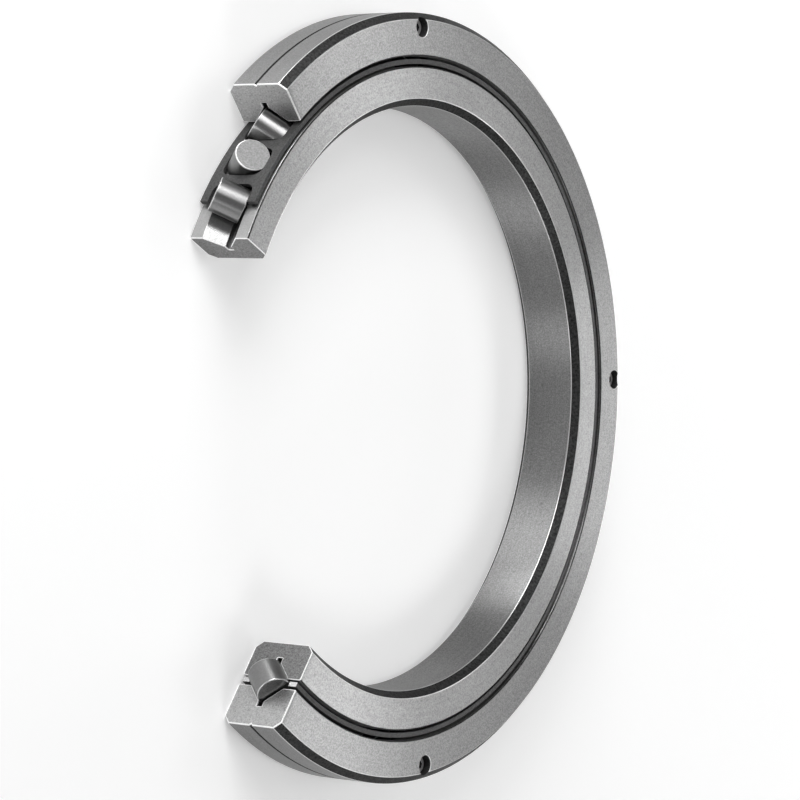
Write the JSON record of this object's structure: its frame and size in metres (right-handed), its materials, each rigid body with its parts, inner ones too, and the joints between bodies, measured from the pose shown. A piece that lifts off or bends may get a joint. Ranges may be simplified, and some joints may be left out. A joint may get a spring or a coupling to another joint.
{
  "type": "crossed roller bearing",
  "caption": "Thin crossed roller bearing with a split outer ring, a one-piece inner ring and a cage, with a sector cut away to show the rollers.",
  "frame": {"origin": "centre of the bearing on its axis of rotation, at half its width", "axes": "+Z along the axis of rotation, out of the front face, which is the face with the screw heads; the cut-away sector is on the -X side, centred about 196 degrees counter-clockwise from +X"},
  "size_m": [0.3564, 0.395, 0.035],
  "materials": {
    "ground_bearing_steel": "fine ground, satin",
    "cage_steel": "phosphated, matt dark grey",
    "black_oxide_steel": "black oxide, satin",
    "roller_steel": "lapped, with plain ground ends"
  },
  "bodies": {
    "outer_ring": {"outer_ring_front": "ground_bearing_steel", "outer_ring_rear": "ground_bearing_steel", "clamp_screw_1": "black_oxide_steel", "clamp_screw_2": "black_oxide_steel", "clamp_screw_3": "black_oxide_steel"},
    "inner_ring": {"inner_ring": "ground_bearing_steel"},
    "cage": {"cage": "cage_steel"},
    "roller_01": {"roller_01": "roller_steel"},
    "roller_02": {"roller_02": "roller_steel"},
    "roller_03": {"roller_03": "roller_steel"},
    "roller_04": {"roller_04": "roller_steel"},
    "roller_05": {"roller_05": "roller_steel"},
    "roller_06": {"roller_06": "roller_steel"},
    "roller_07": {"roller_07": "roller_steel"},
    "roller_08": {"roller_08": "roller_steel"},
    "roller_09": {"roller_09": "roller_steel"},
    "roller_10": {"roller_10": "roller_steel"},
    "roller_11": {"roller_11": "roller_steel"},
    "roller_12": {"roller_12": "roller_steel"},
    "roller_13": {"roller_13": "roller_steel"},
    "roller_14": {"roller_14": "roller_steel"},
    "roller_15": {"roller_15": "roller_steel"},
    "roller_16": {"roller_16": "roller_steel"},
    "roller_17": {"roller_17": "roller_steel"},
    "roller_18": {"roller_18": "roller_steel"},
    "roller_19": {"roller_19": "roller_steel"},
    "roller_20": {"roller_20": "roller_steel"},
    "roller_21": {"roller_21": "roller_steel"},
    "roller_22": {"roller_22": "roller_steel"},
    "roller_23": {"roller_23": "roller_steel"},
    "roller_24": {"roller_24": "roller_steel"},
    "roller_25": {"roller_25": "roller_steel"},
    "roller_26": {"roller_26": "roller_steel"},
    "roller_27": {"roller_27": "roller_steel"},
    "roller_28": {"roller_28": "roller_steel"},
    "roller_29": {"roller_29": "roller_steel"},
    "roller_30": {"roller_30": "roller_steel"},
    "roller_31": {"roller_31": "roller_steel"},
    "roller_32": {"roller_32": "roller_steel"},
    "roller_33": {"roller_33": "roller_steel"},
    "roller_34": {"roller_34": "roller_steel"},
    "roller_35": {"roller_35": "roller_steel"},
    "roller_36": {"roller_36": "roller_steel"}
  },
  "joints": [
    {"name": "inner_ring_turn", "type": "hinge", "parent": "outer_ring", "child": "inner_ring", "pos_m": [0, 0, 0], "axis": [0, 0, 1], "continuous": true},
    {"name": "cage_turn", "type": "hinge", "parent": "outer_ring", "child": "cage", "pos_m": [0, 0, 0], "axis": [0, 0, 1], "continuous": true},
    {"name": "roller_01_spin", "type": "hinge", "parent": "cage", "child": "roller_01", "pos_m": [-0.09646, -0.14301, 0], "axis": [-0.3954, -0.5862, 0.7071], "continuous": true},
    {"name": "roller_02_spin", "type": "hinge", "parent": "cage", "child": "roller_02", "pos_m": [-0.07618, -0.15477, 0], "axis": [-0.3123, -0.6344, -0.7071], "continuous": true},
    {"name": "roller_03_spin", "type": "hinge", "parent": "cage", "child": "roller_03", "pos_m": [-0.05448, -0.16367, 0], "axis": [-0.2233, -0.6709, 0.7071], "continuous": true},
    {"name": "roller_04_spin", "type": "hinge", "parent": "cage", "child": "roller_04", "pos_m": [-0.03178, -0.16955, 0], "axis": [-0.1303, -0.695, -0.7071], "continuous": true},
    {"name": "roller_05_spin", "type": "hinge", "parent": "cage", "child": "roller_05", "pos_m": [-0.0085, -0.17229, 0], "axis": [-0.0348, -0.7062, 0.7071], "continuous": true},
    {"name": "roller_06_spin", "type": "hinge", "parent": "cage", "child": "roller_06", "pos_m": [0.01494, -0.17185, 0], "axis": [0.0613, -0.7044, -0.7071], "continuous": true},
    {"name": "roller_07_spin", "type": "hinge", "parent": "cage", "child": "roller_07", "pos_m": [0.03811, -0.16824, 0], "axis": [0.1562, -0.6896, 0.7071], "continuous": true},
    {"name": "roller_08_spin", "type": "hinge", "parent": "cage", "child": "roller_08", "pos_m": [0.06057, -0.16151, 0], "axis": [0.2483, -0.6621, -0.7071], "continuous": true},
    {"name": "roller_09_spin", "type": "hinge", "parent": "cage", "child": "roller_09", "pos_m": [0.08192, -0.15181, 0], "axis": [0.3358, -0.6223, 0.7071], "continuous": true},
    {"name": "roller_10_spin", "type": "hinge", "parent": "cage", "child": "roller_10", "pos_m": [0.10175, -0.1393, 0], "axis": [0.4171, -0.571, -0.7071], "continuous": true},
    {"name": "roller_11_spin", "type": "hinge", "parent": "cage", "child": "roller_11", "pos_m": [0.1197, -0.12421, 0], "axis": [0.4907, -0.5092, 0.7071], "continuous": true},
    {"name": "roller_12_spin", "type": "hinge", "parent": "cage", "child": "roller_12", "pos_m": [0.13544, -0.10683, 0], "axis": [0.5552, -0.4379, -0.7071], "continuous": true},
    {"name": "roller_13_spin", "type": "hinge", "parent": "cage", "child": "roller_13", "pos_m": [0.14867, -0.08748, 0], "axis": [0.6094, -0.3586, 0.7071], "continuous": true},
    {"name": "roller_14_spin", "type": "hinge", "parent": "cage", "child": "roller_14", "pos_m": [0.15916, -0.06651, 0], "axis": [0.6524, -0.2726, -0.7071], "continuous": true},
    {"name": "roller_15_spin", "type": "hinge", "parent": "cage", "child": "roller_15", "pos_m": [0.16671, -0.04431, 0], "axis": [0.6834, -0.1816, 0.7071], "continuous": true},
    {"name": "roller_16_spin", "type": "hinge", "parent": "cage", "child": "roller_16", "pos_m": [0.17118, -0.02129, 0], "axis": [0.7017, -0.0873, -0.7071], "continuous": true},
    {"name": "roller_17_spin", "type": "hinge", "parent": "cage", "child": "roller_17", "pos_m": [0.17249, 0.00212, 0], "axis": [0.7071, 0.0087, 0.7071], "continuous": true},
    {"name": "roller_18_spin", "type": "hinge", "parent": "cage", "child": "roller_18", "pos_m": [0.17061, 0.02549, 0], "axis": [0.6993, 0.1045, -0.7071], "continuous": true},
    {"name": "roller_19_spin", "type": "hinge", "parent": "cage", "child": "roller_19", "pos_m": [0.16557, 0.04839, 0], "axis": [0.6787, 0.1984, 0.7071], "continuous": true},
    {"name": "roller_20_spin", "type": "hinge", "parent": "cage", "child": "roller_20", "pos_m": [0.15748, 0.0704, 0], "axis": [0.6455, 0.2886, -0.7071], "continuous": true},
    {"name": "roller_21_spin", "type": "hinge", "parent": "cage", "child": "roller_21", "pos_m": [0.14648, 0.0911, 0], "axis": [0.6004, 0.3735, 0.7071], "continuous": true},
    {"name": "roller_22_spin", "type": "hinge", "parent": "cage", "child": "roller_22", "pos_m": [0.13277, 0.11013, 0], "axis": [0.5443, 0.4514, -0.7071], "continuous": true},
    {"name": "roller_23_spin", "type": "hinge", "parent": "cage", "child": "roller_23", "pos_m": [0.11661, 0.12712, 0], "axis": [0.478, 0.5211, 0.7071], "continuous": true},
    {"name": "roller_24_spin", "type": "hinge", "parent": "cage", "child": "roller_24", "pos_m": [0.09829, 0.14175, 0], "axis": [0.4029, 0.5811, -0.7071], "continuous": true},
    {"name": "roller_25_spin", "type": "hinge", "parent": "cage", "child": "roller_25", "pos_m": [0.07816, 0.15378, 0], "axis": [0.3204, 0.6304, 0.7071], "continuous": true},
    {"name": "roller_26_spin", "type": "hinge", "parent": "cage", "child": "roller_26", "pos_m": [0.05659, 0.16295, 0], "axis": [0.232, 0.668, -0.7071], "continuous": true},
    {"name": "roller_27_spin", "type": "hinge", "parent": "cage", "child": "roller_27", "pos_m": [0.03397, 0.16912, 0], "axis": [0.1392, 0.6933, 0.7071], "continuous": true},
    {"name": "roller_28_spin", "type": "hinge", "parent": "cage", "child": "roller_28", "pos_m": [0.01072, 0.17217, 0], "axis": [0.0439, 0.7057, -0.7071], "continuous": true},
    {"name": "roller_29_spin", "type": "hinge", "parent": "cage", "child": "roller_29", "pos_m": [-0.01273, 0.17203, 0], "axis": [-0.0522, 0.7052, 0.7071], "continuous": true},
    {"name": "roller_30_spin", "type": "hinge", "parent": "cage", "child": "roller_30", "pos_m": [-0.03594, 0.16871, 0], "axis": [-0.1473, 0.6916, -0.7071], "continuous": true},
    {"name": "roller_31_spin", "type": "hinge", "parent": "cage", "child": "roller_31", "pos_m": [-0.05849, 0.16228, 0], "axis": [-0.2398, 0.6652, 0.7071], "continuous": true},
    {"name": "roller_32_spin", "type": "hinge", "parent": "cage", "child": "roller_32", "pos_m": [-0.07996, 0.15285, 0], "axis": [-0.3278, 0.6266, -0.7071], "continuous": true},
    {"name": "roller_33_spin", "type": "hinge", "parent": "cage", "child": "roller_33", "pos_m": [-0.09995, 0.1406, 0], "axis": [-0.4097, 0.5763, 0.7071], "continuous": true},
    {"name": "roller_34_spin", "type": "hinge", "parent": "cage", "child": "roller_34", "pos_m": [-0.11809, 0.12574, 0], "axis": [-0.4841, 0.5154, -0.7071], "continuous": true},
    {"name": "roller_35_spin", "type": "hinge", "parent": "cage", "child": "roller_35", "pos_m": [-0.13405, 0.10857, 0], "axis": [-0.5495, 0.445, 0.7071], "continuous": true},
    {"name": "roller_36_spin", "type": "hinge", "parent": "cage", "child": "roller_36", "pos_m": [-0.14753, 0.08939, 0], "axis": [-0.6048, 0.3664, -0.7071], "continuous": true}
  ],
  "couplings": [
    {"joint": "cage_turn", "follows": "inner_ring_turn", "ratio": 0.48207},
    {"joint": "roller_01_spin", "follows": "inner_ring_turn", "ratio": -9.8445},
    {"joint": "roller_02_spin", "follows": "inner_ring_turn", "ratio": 9.8445},
    {"joint": "roller_03_spin", "follows": "inner_ring_turn", "ratio": -9.8445},
    {"joint": "roller_04_spin", "follows": "inner_ring_turn", "ratio": 9.8445},
    {"joint": "roller_05_spin", "follows": "inner_ring_turn", "ratio": -9.8445},
    {"joint": "roller_06_spin", "follows": "inner_ring_turn", "ratio": 9.8445},
    {"joint": "roller_07_spin", "follows": "inner_ring_turn", "ratio": -9.8445},
    {"joint": "roller_08_spin", "follows": "inner_ring_turn", "ratio": 9.8445},
    {"joint": "roller_09_spin", "follows": "inner_ring_turn", "ratio": -9.8445},
    {"joint": "roller_10_spin", "follows": "inner_ring_turn", "ratio": 9.8445},
    {"joint": "roller_11_spin", "follows": "inner_ring_turn", "ratio": -9.8445},
    {"joint": "roller_12_spin", "follows": "inner_ring_turn", "ratio": 9.8445},
    {"joint": "roller_13_spin", "follows": "inner_ring_turn", "ratio": -9.8445},
    {"joint": "roller_14_spin", "follows": "inner_ring_turn", "ratio": 9.8445},
    {"joint": "roller_15_spin", "follows": "inner_ring_turn", "ratio": -9.8445},
    {"joint": "roller_16_spin", "follows": "inner_ring_turn", "ratio": 9.8445},
    {"joint": "roller_17_spin", "follows": "inner_ring_turn", "ratio": -9.8445},
    {"joint": "roller_18_spin", "follows": "inner_ring_turn", "ratio": 9.8445},
    {"joint": "roller_19_spin", "follows": "inner_ring_turn", "ratio": -9.8445},
    {"joint": "roller_20_spin", "follows": "inner_ring_turn", "ratio": 9.8445},
    {"joint": "roller_21_spin", "follows": "inner_ring_turn", "ratio": -9.8445},
    {"joint": "roller_22_spin", "follows": "inner_ring_turn", "ratio": 9.8445},
    {"joint": "roller_23_spin", "follows": "inner_ring_turn", "ratio": -9.8445},
    {"joint": "roller_24_spin", "follows": "inner_ring_turn", "ratio": 9.8445},
    {"joint": "roller_25_spin", "follows": "inner_ring_turn", "ratio": -9.8445},
    {"joint": "roller_26_spin", "follows": "inner_ring_turn", "ratio": 9.8445},
    {"joint": "roller_27_spin", "follows": "inner_ring_turn", "ratio": -9.8445},
    {"joint": "roller_28_spin", "follows": "inner_ring_turn", "ratio": 9.8445},
    {"joint": "roller_29_spin", "follows": "inner_ring_turn", "ratio": -9.8445},
    {"joint": "roller_30_spin", "follows": "inner_ring_turn", "ratio": 9.8445},
    {"joint": "roller_31_spin", "follows": "inner_ring_turn", "ratio": -9.8445},
    {"joint": "roller_32_spin", "follows": "inner_ring_turn", "ratio": 9.8445},
    {"joint": "roller_33_spin", "follows": "inner_ring_turn", "ratio": -9.8445},
    {"joint": "roller_34_spin", "follows": "inner_ring_turn", "ratio": 9.8445},
    {"joint": "roller_35_spin", "follows": "inner_ring_turn", "ratio": -9.8445},
    {"joint": "roller_36_spin", "follows": "inner_ring_turn", "ratio": 9.8445}
  ]
}
